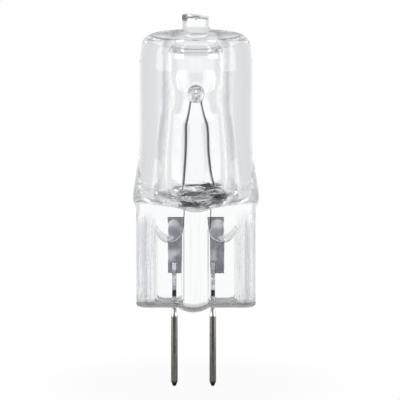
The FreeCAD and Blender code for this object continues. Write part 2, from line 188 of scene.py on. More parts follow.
# Filament coil and its tails, as (across, up) places in one upright plane
COIL_RADIUS = 0.16
COIL_WIRE = 0.055
COIL_PITCH = 0.17
TAIL_RADIUS = 0.05
TAIL_SEAT = 0.0275
COIL_PLANE = FOIL_FRONT - TAIL_SEAT
COIL_LINE = (
    (-1.40, 13.9), (-1.17, 16.3), (-1.06, 18.0), (-1.03, 20.6), (-0.84, 22.2),
    (-0.50, 23.75), (0.0, 24.29), (0.50, 23.75), (0.84, 21.9), (1.20, 19.8),
    (1.28, 17.6), (1.54, 15.6), (1.95, 13.9),
)
LEFT_TAIL = ((-1.40, 14.0), (-1.46, 13.2), (-1.50, 12.8), (-1.27, 12.1), (-1.22, 11.3), (-1.25, 9.4))
RIGHT_TAIL = ((1.95, 14.0), (2.03, 13.1), (1.98, 12.7), (1.50, 11.9), (1.52, 11.2), (1.55, 9.4))

# Foils, outer leads and pins
FOIL_WIDTH = 1.45
FOIL_GAIN = 0.3
FOIL_SHEET = 0.03
FOIL_SEAT = 0.01
FOIL_WAVE = 0.02
FOIL_EDGE_WAVE = 0.03
FOIL_TEAR = 0.12
FOIL_TEAR_SHARE = 0.06
LEAD_ROUND = 0.04
LEAD_TOP_ROUND = 0.1
LEAD_SWELL = 0.25
LEAD_SWELL_START = 0.05
LEAD_SWELL_FULL = 0.5
LEAD_UNEVEN = 0.08
WELD_START = 0.3
WELD_FULL = 0.1
PIN_SHOULDER = 0.0
PIN_SHOULDER_ROUND = 0.15
PIN_BULLET = 0.5
PIN_BULLET_ROUND = 0.35
PIN_END_SHARE = 0.42
PIN_END_ROUND = 0.12
PIN_COLLAR = 0.23
PIN_COLLAR_DROP = 0.06
PIN_COLLAR_ROUND = 0.03
PIN_MOUTH = 0.21
PIN_MOUTH_ROUND = 0.02
PIN_SOCKET = 0.185
PIN_SOCKET_DEPTH = 0.6

# Fineness of the meshes: paces along outlines in millimetres, and steps round them
TUBE_FOOT = 2.6
TUBE_BANDS = (
    (TUBE_FOOT, 11.0, 0.2), (11.0, 12.4, 0.05), (12.4, 14.0, 0.1), (14.0, 19.0, 0.25),
    (19.0, SHOULDER_LOW, 0.16),
)
END_PACE = 0.5
END_ROUND_PACE = 0.12
SHOULDER_PACE = 0.16
STUB_PACE = 0.13
CAVITY_PACE = 0.14
LEAD_PACE = 0.12
PIN_PACE = 0.1
TUBE_STEPS = 240
CAVITY_STEPS = 168
POST_STEPS = 96
POST_RINGS = 101
PIN_STEPS = 48
LEAD_STEPS = 24
SIDE_POINTS = 20
CORNER_POINTS = 60
FACE_POINTS = 400
COIL_SIDES = 7
COIL_STEPS = 16
COIL_POINTS = 400
TAIL_SIDES = 8
TAIL_CUTS = 40
TAIL_POINTS = 60
CURVE_POINTS = 24
FOIL_COLUMNS = 16
FOIL_ROWS = 56
DIMPLE_CUTS = 3
MERGE_GAP = 0.0005
COIL_MERGE_GAP = 0.002

# Colours of the finishes
CLEAR = (0.99, 0.995, 1.0, 1)
# Grey for the streaked rails and rib, and for painted shade in the bore, on the slanting outside and on the
# dome top
GREY_TINT_AND_SHADE = (0.6, 0.62, 0.65, 1)
# Grey painted at the frosted end as the shade of its rounded lip
CUT_SHADE_GREY = (0.6, 0.61, 0.62, 1)
# Black for soot on the broken tip and for painted shade in the crease of the floor
SOOT_AND_SHADE_BLACK = (0.07, 0.07, 0.08, 1)
TUNGSTEN_DARK = (0.08, 0.08, 0.1, 1)
TUNGSTEN_PALE = (0.22, 0.22, 0.26, 1)
FOIL_DARK = (0.28, 0.29, 0.33, 1)
FOIL_PALE = (0.5, 0.51, 0.55, 1)
# Colour of the painted highlights on the foils
FOIL_HIGHLIGHT = (0.96, 0.97, 1.0, 1)
LEAD_DARK = (0.34, 0.35, 0.38, 1)
LEAD_PALE = (0.8, 0.81, 0.84, 1)
LEAD_DARK_BAND = (0.03, 0.03, 0.04, 1)
PIN_DARK = (0.15, 0.145, 0.14, 1)
PIN_PALE = (0.34, 0.325, 0.29, 1)
PIN_WORN = (0.5, 0.48, 0.44, 1)
# Colour of the painted highlight on the pins' cones
PIN_CONE_HIGHLIGHT = (0.72, 0.7, 0.64, 1)
PIN_END = (0.03, 0.03, 0.032, 1)
PAPER = (0.9, 0.9, 0.9, 1)
WHITE = (1, 1, 1, 1)

# Places of the marks on the quartz, each from where it starts to where it is full
QUARTZ_INDEX = 1.46
BORE_EDGE = (3.3, 3.5)
BORE_FOOT = (12.4, 12.6)
BORE_TOP = (28.2, 28.4)
# Painted shade in the bore: where it rises towards the top, how much it reaches there, where it stops, and
# how metallic it is
SHADE_VEIL_RISE = (24.6, 27.4)
SHADE_VEIL_SHARE = 0.22
SHADE_FILM_TOP = (27.6, 28.2)
SHADE_FILM_METAL = 0.65
# Painted shade in the crease of the gas space's floor: where it ends and how metallic it is
CREASE_SHADE_TOP = (13.5, 14.0)
CREASE_SHADE_METAL = 0.85
SEAL_TOP = (9.8, 11.2)
CUT_TOP = (1.5, 1.72)
RAIL_INNER = (4.1, 4.6)
STRIPE_INNER = (4.95, 5.15)
STRIPE_OUTER = (5.45, 5.65)
RIB_OUTER = (0.9, 1.3)
# Painted shade on the dome top: its foot, its end and its growth towards the sides
DOME_SHADE_FOOT = (DOME_TOP - 0.3, DOME_TOP - 0.1)
DOME_SHADE_END = (29.75, 29.9)
DOME_SHADE_SIDES = (2.0, 3.6)
SOOT_FOOT = (TIP_TOP - 0.8, TIP_TOP - 0.5)
SOOT_SIDE = (0.75, 1.05)

# Places of the marks on the foils, leads and pins
# Places of the painted highlights on the foils, where the glass above them is blistered
BLISTER_LEVEL = 9.35
BLISTER_TALL = 1.15
LEFT_BLISTER = -2.1
LEFT_BLISTER_WIDE = 0.85
RIGHT_BLISTER = 2.5
RIGHT_BLISTER_WIDE = 1.1
WELD_FOOT = (5.6, 6.2)
WELD_TOP = (6.6, 7.4)
DARK_BAND_FOOT = (2.0, 2.3)
DARK_BAND_TOP = (2.7, 3.0)
PIN_FADE = (-7.0, 0.0)
PIN_BLACK_TIP = (-7.1, -6.7)
PIN_HIGHLIGHT_SPAN = (-0.1, 0.15)

# Floor, room, softboxes and camera
FLOOR_HALF_WIDE = 36
FLOOR_HALF_LONG = 232
FLOOR_BACK = 218
SHADOW_SHARE = 0.08
SHADOW_EDGE = (10, 23)
GROUND_EDGE = (20, 50)
ROOM_GREY = 0.78
ROOM_LEAST = 0.05
WALL_GAIN = 0.18
VIEWER_LOSS = 0.62
CEILING_LOSS = 0.4
OVERHEAD_LOSS = 0.1
SOFTBOX_ASIDE = 160
SOFTBOX_FRONT = -60
SOFTBOX_LEVEL = 60
SOFTBOX_SIZE = (120, 120)
SOFTBOX_TARGET = (0, 0, 12)
SOFTBOX_POWER = 0.12
CAMERA_AIM = (0.668, 0, 12.2)
CAMERA_RISE = 9.0
CAMERA_DISTANCE = 600
CAMERA_FIELD = 41.45
CAMERA_SENSOR = 36
CAMERA_NEAR = 0.01
CAMERA_FAR = 10
LIGHT_TURNS = 40


def ease(value, low, high):
    """Smooth step from 0 at low to 1 at high."""
    share = np.clip((value - low) / (high - low), 0.0, 1.0)
    return share * share * (3.0 - 2.0 * share)


def merge_high(first, second, width):
    """Larger of two values, rounded over where they cross."""
    return (first + second + np.sqrt((first - second) ** 2 + width ** 2)) / 2


def merge_low(first, second, width):
    """Smaller of two values, rounded over where they cross."""
    return (first + second - np.sqrt((first - second) ** 2 + width ** 2)) / 2


def ripple(places, scale, seed, share=None):
    """Smooth noise from -1 to 1 at each place, stretched by scale and faded by an optional share."""
    amount = np.ones(len(places)) if share is None else share
    offset = Vector((seed, seed, seed))
    return np.array([
        part * noise.noise(Vector(place * scale) + offset) if part > 0 else 0.0
        for place, part in zip(places, amount)
    ])


def rounded(corners, pace):
    """Points along a chain of (across, up, rounding) corners, no further apart than pace."""
    spots = []
    for index, (across, up, rounding) in enumerate(corners):
        here = Vector((across, up))
        if not rounding:
            spots.append(here)
            continue
        back = (Vector(corners[index - 1][:2]) - here).normalized()
        ahead = (Vector(corners[index + 1][:2]) - here).normalized()
        half = back.angle(ahead) / 2
        centre = here + (back + ahead).normalized() * (rounding / math.sin(half))
        start = here + back * (rounding / math.tan(half)) - centre
        sweep = math.pi - 2 * half
        if back.x * ahead.y - back.y * ahead.x > 0:
            sweep = -sweep
        count = max(2, round(abs(sweep) * rounding / pace))
        for step in range(count + 1):
            spots.append(centre + Matrix.Rotation(sweep * step / count, 2) @ start)
    points = [spots[0]]
    for spot in spots[1:]:
        run = spot - points[-1]
        count = max(1, round(run.length / pace))
        begin = points[-1]
        points += [begin + run * step / count for step in range(1, count + 1)]
    return points


def spun(points, steps):
    """Closed shape turned about the upright axis from (across, up) points."""
    shape = bmesh.new()
    chain = [shape.verts.new((point.x, 0, point.y)) for point in points]
    for first, second in zip(chain, chain[1:]):
        shape.edges.new((first, second))
    bmesh.ops.spin(
        shape, geom=shape.verts[:] + shape.edges[:], cent=(0, 0, 0), axis=(0, 0, 1),
        dvec=(0, 0, 0), angle=2 * math.pi, steps=steps, use_merge=True,
    )
    bmesh.ops.remove_doubles(shape, verts=shape.verts, dist=MERGE_GAP)
    bmesh.ops.recalc_face_normals(shape, faces=shape.faces)
    return shape


def reshape(shape, change):
    """Move all vertices at once by a function of their places."""
    places = np.array([vert.co for vert in shape.verts])
    for vert, place in zip(shape.verts, change(places)):
        vert.co = place


def add_piece(shape, name, material, node, across=0.0):
    """Bring a shape from millimetres into the frame as the piece that stands for a node."""
    bmesh.ops.translate(shape, verts=shape.verts, vec=(across, 0, 0))
    bmesh.ops.scale(shape, verts=shape.verts, vec=(MM, MM, MM))
    mesh = bpy.data.meshes.new(name)
    shape.to_mesh(mesh)
    shape.free()
    mesh.shade_smooth()
    mesh.materials.append(material)
    piece = bpy.data.objects.new(name, mesh)
    bpy.context.scene.collection.objects.link(piece)
    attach(piece, "root")
    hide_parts(node)
    return piece


class Wire:
    """A node socket that takes part in sums."""

    def __init__(self, tree, socket):
        self.tree = tree
        self.socket = socket

    def node(self, kind, settings=None, **sockets):
        """Add any node: its settings first, then the values or links of its sockets by name or number."""
        made = self.tree.nodes.new(kind)
        for key, value in (settings or {}).items():
            setattr(made, key, value)
        for key, value in sockets.items():
            label = key.replace("_", " ")
            entry = made.inputs[int(key[1:])] if key[1:].isdigit() else made.inputs[label]
            if isinstance(value, Wire):
                self.tree.links.new(value.socket, entry)
            else:
                entry.default_value = value
        return made

    def out(self, made, name=0):
        return Wire(self.tree, made.outputs[name])

    def maths(self, operation, first, second=0.0):
        made = self.node("ShaderNodeMath", {"operation": operation}, s0=first, s1=second)
        return self.out(made)

    def __add__(self, other):
        return self.maths("ADD", self, other)

    def __radd__(self, other):
        return self.maths("ADD", other, self)

    def __sub__(self, other):
        return self.maths("SUBTRACT", self, other)

    def __rsub__(self, other):
        return self.maths("SUBTRACT", other, self)

    def __mul__(self, other):
        return self.maths("MULTIPLY", self, other)

    def __rmul__(self, other):
        return self.maths("MULTIPLY", other, self)

    def __abs__(self):
        return self.maths("ABSOLUTE", self)

    def larger(self, other):
        return self.maths("MAXIMUM", self, other)

    def smaller(self, other):
        return self.maths("MINIMUM", self, other)

    def step(self, low, high):
        """Smooth step of this value from 0 at low to 1 at high."""
        made = self.node(
            "ShaderNodeMapRange", {"interpolation_type": "SMOOTHSTEP"},
            Value=self, From_Min=low, From_Max=high,
        )
        return self.out(made)

    def rise(self, low, high):
        """Smooth step over a length that is given in millimetres."""
        return self.step(low * MM, high * MM)

    def band(self, start, end):
        """1 between two smooth steps that are given in millimetres, 0 outside them."""
        return self.rise(*start) * (1 - self.rise(*end))

    def blend(self, first, second):
        """Colour between two, by this value."""
        made = self.node("ShaderNodeMix", {"data_type": "RGBA"}, s0=self, s6=first, s7=second)
        return self.out(made, 2)


def new_material(name):
    """New node material, its shader and the piece's own coordinates."""
    material = bpy.data.materials.new(name)
    material.use_nodes = True
    tree = material.node_tree
    shader = tree.nodes["Principled BSDF"]
    start = Wire(tree, None)
    places = start.out(start.node("ShaderNodeTexCoord"), "Object")
    return material, shader, places


def new_metal(name):
    """New material of bare metal, its shader and the piece's own coordinates."""
    material, shader, places = new_material(name)
    shader.inputs["Metallic"].default_value = 1.0
    return material, shader, places


def grain(places, scale, detail=2.0, stretch=(1, 1, 1)):
    """Noise on the piece's own coordinates; scale counts features over a metre."""
    sized = places.out(places.node("ShaderNodeMapping", None, Vector=places, Scale=stretch))
    return places.out(places.node("ShaderNodeTexNoise", None, Vector=sized, Scale=scale, Detail=detail))


def bump(places, shader, height, strength, distance):
    """Fine relief of a height, with its distance in millimetres."""
    made = places.node("ShaderNodeBump", None, Height=height, Strength=strength, Distance=distance * MM)
    places.tree.links.new(made.outputs[0], shader.inputs["Normal"])


def join(places, value, shader, name):
    """Lead a value into one of the shader's sockets."""
    places.tree.links.new(value.socket, shader.inputs[name])


def directions(places):
    """Across, depth and height of a place in metres, or of a heading."""
    parts = places.node("ShaderNodeSeparateXYZ", None, Vector=places)
    return [places.out(parts, name) for name in "XYZ"]


def make_quartz():
    """Clear fire-polished quartz: ribbed by the jaws on its rails and frosted at its end, with painted shade
    as grey at that end, in its bore, on its slanting outside, on its dome top and in the crease of its floor.
    """
    material, shader, places = new_material("clear_quartz")
    shader.inputs["Transmission Weight"].default_value = 1.0
    shader.inputs["IOR"].default_value = QUARTZ_INDEX
    middle, depth, level = directions(places)
    across = middle - GLASS_AXIS * MM
    aside = abs(across)
    slanting = places.out(places.node("ShaderNodeLayerWeight", None, Blend=0.5), "Facing")
    within = places.out(places.node("ShaderNodeNewGeometry"), "Backfacing")

    # Painted shade: a grey metallic layer where the wall of the gas space is seen slanting from within the
    # glass and towards its top, and dark streaks in the crease of its floor
    bore_start, bore_end = ((edge * MM) ** 2 for edge in BORE_EDGE)
    bore = 1 - (across * across + depth * depth).step(bore_start, bore_end)
    bore = bore * level.band(BORE_FOOT, BORE_TOP)
    shade_veil = slanting.step(0.27, 0.55).larger(level.rise(*SHADE_VEIL_RISE) * SHADE_VEIL_SHARE)
    shade_film = bore * within * shade_veil * (1 - level.rise(*SHADE_FILM_TOP))
    # Dark streaks painted as shade in the crease of the floor
    crease_shade = bore * (1 - level.rise(*CREASE_SHADE_TOP))
    crease_shade = crease_shade * grain(places, 700.0, 3.0, (0.4, 0.4, 2.2)).step(0.52, 0.6)
    join(places, (shade_film * SHADE_FILM_METAL).larger(crease_shade * CREASE_SHADE_METAL), shader, "Metallic")

    # Seal with its streaked rails and rib, and the frosted cut that follows the drip
    seal = 1 - level.rise(*SEAL_TOP)
    drip = (1 - middle * middle * (1 / (DRIP_REACH * MM) ** 2)).larger(0.0) * (DRIP_DEPTH * MM)
    cut = 1 - (level + drip).rise(*CUT_TOP)
    rails = seal * aside.rise(*RAIL_INNER)
    stripe = aside.band(STRIPE_INNER, STRIPE_OUTER)
    rib = seal * (1 - aside.rise(*RIB_OUTER))
    streaks = grain(places, 2200.0, 3.0, (1, 1, 0.06))
    pits = grain(places, 5200.0, 2.0, (1, 1, 0.5))
    join(places, cut * 0.45 + rails * pits * 0.16, shader, "Roughness")

    # Tints: streaked rails and rib, with painted shade on the dome top, in the bore and on the slanting
    # outside; then the soot, the painted shade in the crease and the painted grey at the cut
    # Painted shade: grey on the outside wherever it is seen slanting
    skin = (1 - bore) * slanting.step(0.1, 0.5)
    # Painted shade on the dome top, mottled by noise and heavier towards its sides
    dome_shade_mottle = grain(places, 420.0, 2.0).step(0.4, 0.6)
    dome = level.band(DOME_SHADE_FOOT, DOME_SHADE_END) * (0.35 + dome_shade_mottle * 0.65)
    dome = dome * (0.6 + aside.rise(*DOME_SHADE_SIDES) * 0.4)
    soot = level.rise(*SOOT_FOOT) * (0 - across).rise(*SOOT_SIDE)
    tint_and_shade = rails * (0.2 + stripe * 0.5 + streaks.step(0.4, 0.65) * 0.45)
    tint_and_shade = tint_and_shade.larger(dome).larger(shade_film).larger(skin * 0.45)
    tint_and_shade = tint_and_shade.larger(rib * streaks.step(0.5, 0.62) * 0.2)
    tinted = tint_and_shade.blend(CLEAR, GREY_TINT_AND_SHADE)
    # Soot darkens the broken tip, and painted shade darkens the crease of the floor
    tinted = soot.larger(crease_shade).blend(tinted, SOOT_AND_SHADE_BLACK)
    # The grey at the cut end is painted shade of its rounded lip; its frost is the roughness above
    join(places, cut.blend(tinted, CUT_SHADE_GREY), shader, "Base Color")

    height = streaks * (rails * 2.4 + rib * 0.4 + seal * 0.05)
    height = height + pits * (rails * 0.3 + cut * 0.5 + seal * 0.04)
    bump(places, shader, height, 0.8, 0.12)
    return material


def make_tungsten():
    """Dark drawn tungsten with fine marks."""
    material, shader, places = new_metal("tungsten")
    marks = grain(places, 9000.0, 4.0)
    spots = grain(places, 2250.0)
    join(places, (marks * 0.7 + spots * 0.3).blend(TUNGSTEN_DARK, TUNGSTEN_PALE), shader, "Base Color")
    join(places, marks * 0.25 + 0.3, shader, "Roughness")
    bump(places, shader, marks, 0.25, 0.03)
    return material


def make_foil_metal():
    """Rolled foil with painted highlights where the glass above it is blistered, swirled inside and a
    crescent at their foot; the weld is swirled pale too.
    """
    material, shader, places = new_metal("molybdenum_foil")
    across, _, level = directions(places)
    marks = grain(places, 2600.0, 4.0, (1, 1, 0.35))
    swirl = grain(places, 620.0, 1.5).step(0.42, 0.62)
    fall = (level - BLISTER_LEVEL * MM) * (1 / (BLISTER_TALL * MM))
    left = abs(across - LEFT_BLISTER * MM) * (1 / (LEFT_BLISTER_WIDE * MM))
    right = abs(across - RIGHT_BLISTER * MM) * (1 / (RIGHT_BLISTER_WIDE * MM))
    apart = left.smaller(right)
    spread = apart * apart + fall * fall
    # Painted highlights: a crescent low on each blistered patch, and a pale patch inside it, palest at its
    # top
    rim_highlight = spread.step(0.45, 0.7) * (1 - spread.step(0.95, 1.15)) * (1 - fall.step(-0.35, 0.25))
    blister_highlight = (1 - spread.step(0.5, 0.7)) * (0.2 + fall.step(-0.3, 0.4) * 0.8)
    weld = level.band(WELD_FOOT, WELD_TOP)
    worn = marks.step(0.3, 0.7).blend(FOIL_DARK, FOIL_PALE)
    bright = (blister_highlight * (0.5 + swirl * 0.5)).larger(weld * swirl * 0.8).larger(rim_highlight)
    join(places, bright.blend(worn, FOIL_HIGHLIGHT), shader, "Base Color")
    join(places, marks * 0.25 + 0.4, shader, "Roughness")
    bump(places, shader, marks + swirl, 0.35, 0.04)
    return material


def make_pin_metal():
    """Dull nickel, with a painted highlight on the swaged cone, darker towards the tip and black at its very
    end.
    """
    material, shader, places = new_metal("dull_nickel")
    level = directions(places)[2]
    marks = grain(places, 2600.0, 4.0, (1, 1, 0.08))
    pits = grain(places, 4200.0, 3.0, (1, 1, 0.4))
    shade = (marks * 0.6 + pits * 0.4).step(0.3, 0.7)
    body = level.rise(*PIN_FADE).blend(PIN_DARK, PIN_PALE)
    worn = (shade * 0.4).blend(body, PIN_WORN)
    # Painted highlight on the swaged cone
    swaged = level.rise(*PIN_HIGHLIGHT_SPAN).blend(worn, PIN_CONE_HIGHLIGHT)
    # Black at the pin's very end
    black_tip = 1 - level.rise(*PIN_BLACK_TIP)
    join(places, black_tip.blend(swaged, PIN_END), shader, "Base Color")
    join(places, pits * 0.2 + 0.12, shader, "Roughness")
    bump(places, shader, marks + pits, 0.35, 0.04)
    return material


def make_lead_metal():
    """Drawn wire seen through the seal, banded dark and bright, and darker in a band near its foot."""
    material, shader, places = new_metal("lead_wire")
    bands = grain(places, 900.0, 3.0, (0.3, 0.3, 1)).step(0.36, 0.62)
    marks = grain(places, 5000.0, 2.0)
    banded = (bands * 0.8 + marks * 0.2).blend(LEAD_DARK, LEAD_PALE)
    dark_band = directions(places)[2].band(DARK_BAND_FOOT, DARK_BAND_TOP)
    join(places, dark_band.blend(banded, LEAD_DARK_BAND), shader, "Base Color")
    join(places, marks * 0.2 + 0.15, shader, "Roughness")
    bump(places, shader, bands + marks, 0.4, 0.05)
    return material


QUARTZ = make_quartz()
TUNGSTEN = make_tungsten()
FOIL = make_foil_metal()
LEAD = make_lead_metal()
PIN = make_pin_metal()


def hip_half(level):
    """Half width of the envelope across the pins, widest at the hips."""
    below = SEAL_HALF + (HIP_HALF - SEAL_HALF) * ease(level, HIP_LOW, HIP_WIDE)
    return below - (HIP_HALF - TUBE_RADIUS) * ease(level, HIP_WIDE, HIP_WIDE + HIP_TAPER)


def pressed_flats(across, level):
    """Share by which the flats beside the middle rib are pressed in at one height."""
    offset = (across - (FLAT_INNER + FLAT_OUTER) / 2) / ((FLAT_OUTER - FLAT_INNER) / 2)
    top = FLAT_TOP - FLAT_DIP * np.clip(1 - offset ** 2, 0, 1)
    foot = FLAT_FOOT + FLAT_LIFT * np.clip(offset, -1, 1) ** 4
    inner = ease(across, FLAT_INNER - FLAT_BRINK, FLAT_INNER + FLAT_SLOPE)
    outer = 1 - ease(across, FLAT_OUTER - FLAT_SLOPE, FLAT_OUTER + FLAT_BRINK)
    above = ease(level, foot - FOOT_BRINK, foot + FOOT_SLOPE)
    below = 1 - ease(level, top - TOP_SLOPE, top + TOP_SLOPE)
    return inner * outer * above * below


def jaw_grooves(across, level):
    """Share by which the upright grooves of the jaws are pressed into the rails at one height."""
    upright = ease(level, FLAT_FOOT - GROOVE_BRINK, FLAT_FOOT + GROOVE_SLOPE)
    upright *= 1 - ease(level, *GROOVE_FADE)
    return upright * sum(share * np.exp(-((across - place) / wide) ** 2) for place, wide, share in GROOVES)


def seal_outline(level):
    """Quarter outline of the pressed seal at one height, from its side to its middle."""
    half = hip_half(level) * (1 - HIP_NIP * ease(level, HIP_LOW, HIP_WIDE + HIP_NIP_RUN))
    inner = half - RAIL_ROUND
    straight = SEAL_DEPTH - RAIL_ROUND
    turn = np.linspace(0, math.pi / 2, CORNER_POINTS)
    side = np.column_stack([np.full(SIDE_POINTS, half), np.linspace(0, straight, SIDE_POINTS)])
    corner = np.column_stack([inner + RAIL_ROUND * np.cos(turn), straight + RAIL_ROUND * np.sin(turn)])
    face = np.column_stack([np.linspace(inner, 0, FACE_POINTS), np.full(FACE_POINTS, SEAL_DEPTH)])
    outline = np.vstack([side, corner[1:], face[1:]])
    across = outline[:, 0]
    on_face = ease(outline[:, 1], SEAL_DEPTH - FACE_START, SEAL_DEPTH - FACE_FULL)
    pressed = FLAT_DEPTH * pressed_flats(across, level) + GROOVE_DEPTH * jaw_grooves(across, level)
    outline[:, 1] -= on_face * pressed
    return outline


def bowl_depth(level, way):
    """Half depth of the oval bowl where it grows out of the pressed seal, later towards its sides."""
    share = np.clip((level - BOWL_LAG * np.cos(way) ** 2 - BOWL_LOW) / (BOWL_HIGH - BOWL_LOW), 0, 1)
    start = SEAL_DEPTH - BOWL_TUCK
    return start + (TUBE_RADIUS - start) * (1 - (1 - share) ** BOWL_SWELL)


def press_seal(places):
    """Press the foot of the turned tube flat between the jaws."""
    moved = places.copy()
    radius = np.hypot(places[:, 0], places[:, 1])
    angle = np.arctan2(np.abs(places[:, 1]), np.abs(places[:, 0]))
    signs = np.where(places[:, :2] < 0, -1.0, 1.0)
    levels = np.round(places[:, 2], 4)
    for level in np.unique(levels[levels < HIP_WIDE + HIP_TAPER]):
        ring = levels == level
        outline = seal_outline(level)
        lengths = np.concatenate([[0], np.cumsum(np.hypot(*np.diff(outline, axis=0).T))])
        along = angle[ring] / (math.pi / 2) * lengths[-1]
        flat = np.column_stack([np.interp(along, lengths, outline[:, axis]) for axis in (0, 1)])
        if level > BOWL_LOW:
            turn = np.arctan2(outline[:, 1], outline[:, 0])
            reach = np.hypot(outline[:, 0], outline[:, 1])
            pressed = np.interp(along, lengths, turn)
            way = angle[ring] + (pressed - angle[ring]) * (1 - ease(level, BOWL_LOW, BOWL_END))
            soft = BOWL_SOFT * ease(level, BOWL_LOW, BOWL_LOW + BOWL_SOFT_RUN)
            soft *= 1 - ease(level, BOWL_CREST, BOWL_END)
            oval = 1 / np.hypot(np.cos(way) / hip_half(level), np.sin(way) / bowl_depth(level, way))
            out = merge_high(oval, np.interp(way, turn, reach), soft)
            flat = np.column_stack([out * np.cos(way), out * np.sin(way)])
        inset = np.minimum(TUBE_RADIUS - radius[ring], END_ROUND)
        inset = np.clip(inset, 0, None) if level < SEAL_END + END_ROUND + END_SLACK else 0.0
        inner = np.minimum(radius[ring] / (TUBE_RADIUS - END_ROUND), 1.0)
        moved[ring, 0] = signs[ring, 0] * flat[:, 0] * (1 - inset / SEAL_HALF) * inner
        moved[ring, 1] = signs[ring, 1] * flat[:, 1] * (1 - inset / SEAL_DEPTH) * inner
    drip = 1 - np.clip((moved[:, 0] + GLASS_AXIS) / DRIP_REACH, -1, 1) ** 2
    moved[:, 2] -= DRIP_DEPTH * drip * (1 - ease(places[:, 2], SEAL_END, SEAL_END + DRIP_RUN))
    on_seal = 1 - ease(places[:, 2], *RIPPLE_FADE)
    moved[:, 1] += signs[:, 1] * SEAL_RIPPLE * ripple(moved, (1.6, 1.6, 0.35), 3.1, on_seal)
    return moved


def push_dimple(places):
    """Push the front wall in: a wide shallow dish with a narrow pit that makes the post."""
    moved = places.copy()
    up = places[:, 2] - POST_LEVEL
    spread = np.hypot(places[:, 0], up)
    dish = np.hypot(places[:, 0] / DISH_HALF, up / np.where(up > 0, DISH_RISE, DISH_DROP))
    push = DISH_DEPTH * np.clip(1 - dish ** 2, 0, 1) ** 2
    push += (TUBE_RADIUS - DIMPLE_FLOOR - DISH_DEPTH) * (1 - ease(spread, DIMPLE_HALF, DIMPLE_THROAT))
    moved[:, 1] += push * (places[:, 1] < FRONT_WALL)
    return moved


def break_tip(places):
    """Slant and chip the broken end of the exhaust stub, and bend its neck a little."""
    moved = places.copy()
    across, depth, level = places.T
    stub = ease(level, TIP_TOP - BREAK_LOW, TIP_TOP - BREAK_FULL)
    rough = ripple(places, (1.1, 1.1, 1.1), 7.7, stub)
    fine = ripple(places, (3.0, 3.0, 3.0), 1.3, stub)
    moved[:, 2] -= stub * TIP_SLANT * (1 + across / TIP_RADIUS)
    moved[:, 2] -= TIP_ROUGH * np.abs(rough) + TIP_FINE * np.abs(fine)
    chip = np.exp(-((across - CHIP_ACROSS) / CHIP_WIDE) ** 2 - ((depth - CHIP_FRONT) / CHIP_LONG) ** 2)
    moved[:, 2] -= stub * CHIP_DEPTH * chip
    neck = ease(level, DOME_TOP - DOME_DISH, TIP_FOOT) * (1 - ease(level, TIP_FOOT, TIP_TOP))
    moved[:, 0] += NECK_BEND * ripple(places, (0.9, 0.9, 0.9), 4.2, neck)
    return moved


def outer_profile():
    """Half outline of the blown tube before it is pressed, from its end up to the broken stub."""
    end_edge = (TUBE_RADIUS - END_ROUND, SEAL_END, 0)
    crater_edge = (CRATER_HALF, DOME_TOP - DOME_DISH, 0)
    end = [end_edge, (TUBE_RADIUS, SEAL_END, END_ROUND), (TUBE_RADIUS, TUBE_FOOT, 0)]
    shoulder = [
        (TUBE_RADIUS, SHOULDER_LOW, 0),
        (TUBE_RADIUS, SHOULDER_LOW + SHOULDER_BEND, SHOULDER_SWEEP),
        (TUBE_RADIUS - SHOULDER_LEAN, DOME_TOP, SHOULDER_ROUND),
        crater_edge,
    ]
    stub = [
        crater_edge,
        (CRATER_HALF - CRATER_LIP, DOME_TOP - DOME_DISH - CRATER_LIP_DROP, CRATER_LIP_ROUND),
        (NECK_RADIUS, DOME_TOP - CRATER_DEPTH, NECK_ROUND),
        (TIP_RADIUS, TIP_FOOT, TIP_FOOT_ROUND),
        (TIP_RADIUS, TIP_TOP, TIP_ROUND),
        (TIP_BORE, TIP_TOP - TIP_SAG, TIP_ROUND),
        (0, TIP_TOP - TIP_PIT, 0),
    ]
    tube = [([(TUBE_RADIUS, low, 0), (TUBE_RADIUS, high, 0)], pace) for low, high, pace in TUBE_BANDS]
    profile = rounded([(0, SEAL_END, 0), end_edge], END_PACE)
    for corners, pace in [(end, END_ROUND_PACE), *tube, (shoulder, SHOULDER_PACE), (stub, STUB_PACE)]:
        profile += rounded(corners, pace)[1:]
    return profile


def make_outer_skin():
    """Outside of the envelope: tube, pressed seal, dimple, dome and broken stub."""
    skin = spun(outer_profile(), TUBE_STEPS)
    reshape(skin, press_seal)

    def by_dimple(vert):
        return vert.co.y < FRONT_WALL and math.hypot(vert.co.x, vert.co.z - POST_LEVEL) < DIMPLE_FINE

    near = [edge for edge in skin.edges if all(by_dimple(vert) for vert in edge.verts)]
    bmesh.ops.subdivide_edges(skin, edges=near, cuts=DIMPLE_CUTS, use_grid_fill=True)
    reshape(skin, push_dimple)
    reshape(skin, break_tip)
    return skin


def press_cavity(places):
    """Nip the gas space towards its floor, which closes in an uneven crease."""
    moved = places.copy()
    radius = np.hypot(places[:, 0], places[:, 1])
    half = PRESS_HALF + PRESS_OPEN * np.clip((places[:, 2] - CAVITY_FLOOR) / PRESS_RUN, 0, 1)
    limit = merge_low(radius, half, PRESS_SOFT)
    moved[:, 1] = places[:, 1] * np.where(radius > 1e-6, limit / np.maximum(radius, 1e-6), 1.0)
    low = 1 - ease(places[:, 2], CAVITY_FLOOR + CREASE_LOW, CAVITY_FLOOR + CREASE_HIGH)
    crease = ripple(moved, (0.45, 0.7, 0.6), 2.2, low)
    fold = ripple(moved, (1.1, 0.8, 0.8), 5.9, low)
    moved[:, 2] += CREASE_DEPTH * crease + FOLD_DEPTH * fold
    moved[:, 1] += FOLD_SHIFT * fold
    return moved


